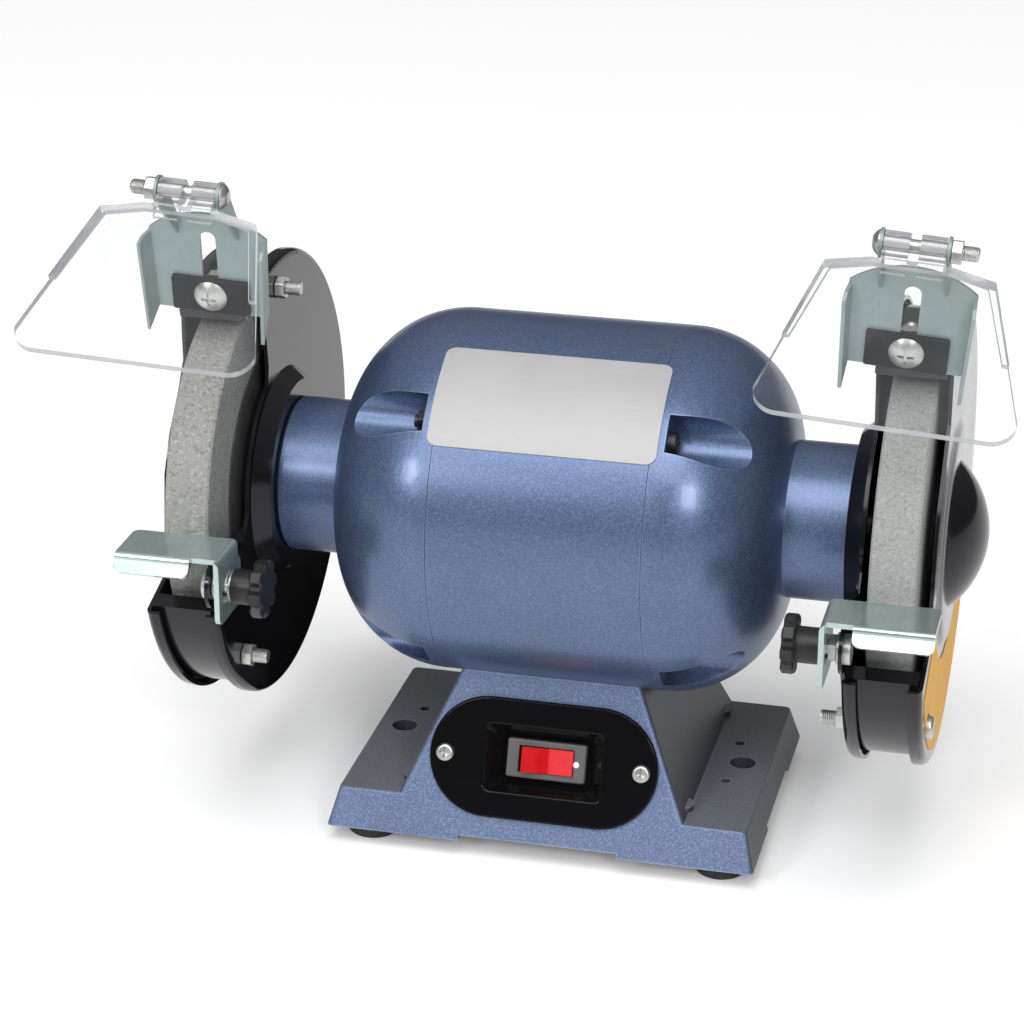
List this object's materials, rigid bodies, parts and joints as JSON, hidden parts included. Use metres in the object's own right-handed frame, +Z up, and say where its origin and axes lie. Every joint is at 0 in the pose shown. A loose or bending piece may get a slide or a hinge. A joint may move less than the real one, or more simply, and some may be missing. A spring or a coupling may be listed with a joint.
{
  "type": "bench grinder",
  "caption": "Bench grinder with a grinding wheel in a guard at each end of a motor, adjustable tool rests and clear eye shields, on a pedestal with a rocker switch.",
  "frame": {"origin": "on the bench under the rubber feet, below the middle of the whole grinder seen from above", "axes": "+X along the shaft to the right seen from the user, +Y away from the user, +Z up"},
  "size_m": [0.3553, 0.2308, 0.2763],
  "materials": {
    "base_paint": "hammered paint",
    "rubber": "matte",
    "zinc": "zinc plated",
    "zinc_sheet": "zinc plated sheet",
    "dark_sheet": "black sheet",
    "plate_black": "satin",
    "switch_black": "satin",
    "rocker_red": "translucent red",
    "cap_can": "plain",
    "motor_paint": "metallic gloss",
    "dark_steel": "oxide black",
    "core_steel": "laminated steel",
    "copper": "enamelled copper",
    "label_plate": "plain printed foil",
    "bearing_steel": "ground",
    "abrasive_coarse": "coarse grit",
    "abrasive_fine": "fine grit",
    "blotter": "plain card",
    "guard_black": "gloss",
    "arrester_black": "satin",
    "patch_yellow": "plain foil",
    "clear_shield": "clear",
    "knob_black": "satin"
  },
  "bodies": {
    "frame": {"base_casting": "base_paint", "rubber_feet": "rubber", "foot_screws": "zinc", "bottom_cover": "dark_sheet", "bottom_cover_screws": "zinc", "switch_plate": "plate_black", "switch_plate_screws": "zinc", "switch_housing": "switch_black", "run_capacitor": "cap_can", "capacitor_clip": "zinc", "cable_gland": "switch_black", "saddle_screws": "zinc", "motor_shell": "motor_paint", "end_bell_left": "motor_paint", "end_bell_right": "motor_paint", "tie_bolts": "dark_steel", "tie_bolt_nuts": "dark_steel", "stator_core": "core_steel", "stator_windings": "copper", "nameplate": "label_plate", "bearing_outer_rings": "bearing_steel", "bearing_balls": "bearing_steel", "guard_left": "guard_black", "guard_right": "guard_black", "guard_cover_left": "guard_black", "guard_cover_right": "guard_black", "cover_screws": "zinc", "cover_nuts": "zinc", "guard_mount_screws": "zinc", "cover_patch": "patch_yellow", "arrester_screws": "zinc", "arrester_nuts": "zinc", "rest_studs": "zinc", "stud_nuts": "zinc", "rest_washers": "zinc"},
    "rotor": {"shaft": "bearing_steel", "rotor_core": "core_steel", "bearing_inner_rings": "bearing_steel", "wheel_left": "abrasive_coarse", "wheel_right": "abrasive_fine", "wheel_blotters": "blotter", "inner_flanges": "dark_steel", "outer_flanges": "dark_steel", "spindle_nut_left": "zinc", "spindle_nut_right": "zinc"},
    "rocker": {"switch_rocker": "rocker_red"},
    "arrester_left": {"spark_arrester_left": "arrester_black"},
    "bracket_left": {"shield_bracket_left": "zinc_sheet", "hinge_bolt_left": "zinc", "hinge_nut_left": "zinc"},
    "shield_left": {"eye_shield_left": "clear_shield"},
    "rest_left": {"tool_rest_left": "zinc_sheet"},
    "knob_left": {"rest_knob_left": "knob_black"},
    "arrester_right": {"spark_arrester_right": "arrester_black"},
    "bracket_right": {"shield_bracket_right": "zinc_sheet", "hinge_bolt_right": "zinc", "hinge_nut_right": "zinc"},
    "shield_right": {"eye_shield_right": "clear_shield"},
    "rest_right": {"tool_rest_right": "zinc_sheet"},
    "knob_right": {"rest_knob_right": "knob_black"}
  },
  "joints": [
    {"name": "rotor_spin", "type": "hinge", "parent": "frame", "child": "rotor", "pos_m": [0, 0.0255, 0.1336], "axis": [1, 0, 0], "continuous": true},
    {"name": "rocker_tilt", "type": "hinge", "parent": "frame", "child": "rocker", "pos_m": [0, -0.0151, 0.03736], "axis": [0, 0.347, 0.9379], "range_deg": [-16, 0]},
    {"name": "arrester_left_slide", "type": "slide", "parent": "frame", "child": "arrester_left", "axis": [0.0506, -0.2585, 0.9647], "range_m": [-0.002, 0.002]},
    {"name": "bracket_left_slide", "type": "slide", "parent": "frame", "child": "bracket_left", "axis": [0.0506, -0.2585, 0.9647], "range_m": [-0.005, 0]},
    {"name": "shield_left_tilt", "type": "hinge", "parent": "bracket_left", "child": "shield_left", "pos_m": [-0.12994, -0.04555, 0.2703], "axis": [0.9987, 0.0131, -0.0489], "range_deg": [-75, 35]},
    {"name": "rest_left_slide", "type": "slide", "parent": "frame", "child": "rest_left", "axis": [0, 1, 0], "range_m": [-0.004, 0.002]},
    {"name": "knob_left_turn", "type": "hinge", "parent": "frame", "child": "knob_left", "pos_m": [-0.1048, -0.0625, 0.1213], "axis": [1, 0, 0], "range_deg": [0, 540]},
    {"name": "arrester_right_slide", "type": "slide", "parent": "frame", "child": "arrester_right", "axis": [0.0732, -0.2581, 0.9633], "range_m": [-0.002, 0.002]},
    {"name": "bracket_right_slide", "type": "slide", "parent": "frame", "child": "bracket_right", "axis": [0.0732, -0.2581, 0.9633], "range_m": [-0.005, 0]},
    {"name": "shield_right_tilt", "type": "hinge", "parent": "bracket_right", "child": "shield_right", "pos_m": [0.1367, -0.04553, 0.27023], "axis": [0.9973, 0.019, -0.0707], "range_deg": [-75, 35]},
    {"name": "rest_right_slide", "type": "slide", "parent": "frame", "child": "rest_right", "axis": [0, 1, 0], "range_m": [-0.004, 0.002]},
    {"name": "knob_right_turn", "type": "hinge", "parent": "frame", "child": "knob_right", "pos_m": [0.1048, -0.0625, 0.1213], "axis": [-1, 0, 0], "range_deg": [0, 540]}
  ]
}
